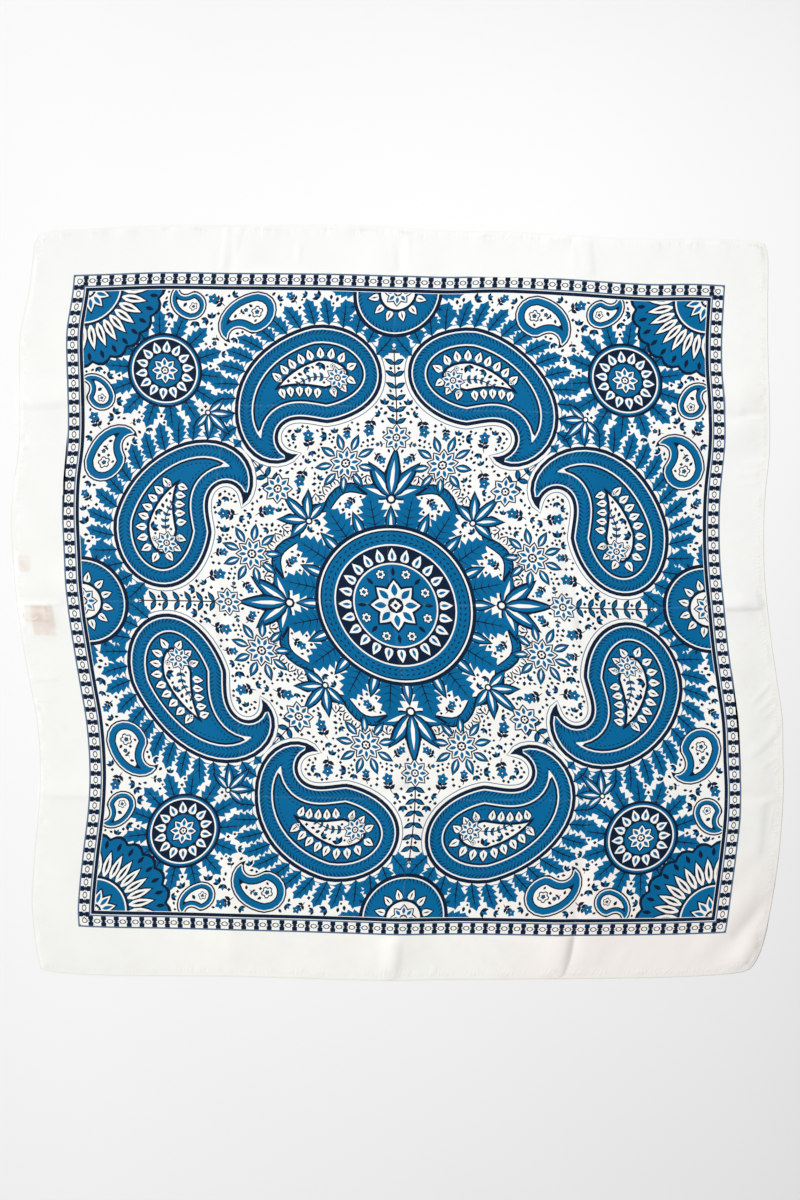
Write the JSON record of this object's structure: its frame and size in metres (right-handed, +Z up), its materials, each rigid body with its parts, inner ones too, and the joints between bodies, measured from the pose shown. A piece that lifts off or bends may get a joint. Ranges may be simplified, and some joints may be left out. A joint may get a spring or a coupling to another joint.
{
  "type": "bandana",
  "caption": "Square printed silk bandana laid flat, with wavy sides, soft packing creases, narrow turned hems and blank label tabs under its left edge.",
  "frame": {"origin": "centre of the outline's bounding box, on the surface that the cloth lies on", "axes": "+Z up out of the cloth, +Y towards the end with the higher left side, +X towards the side without labels"},
  "size_m": [0.7204, 0.7054, 0.0069],
  "materials": {
    "printed_silk": "light silk twill, ivory with a blue, navy and grey-blue paisley print inside a plain margin, soft sheen",
    "plain_silk": "the same twill unprinted, turned twice and stitched into a narrow puckered hem",
    "label_tape": "blank satin tape, seen faintly through the cloth"
  },
  "bodies": {
    "root": {"cloth_panel": "printed_silk", "hem_top": "plain_silk", "hem_right": "plain_silk", "hem_bottom": "plain_silk", "hem_left": "plain_silk", "label_long": "label_tape", "label_wide": "label_tape", "label_end": "label_tape"}
  },
  "joints": []
}
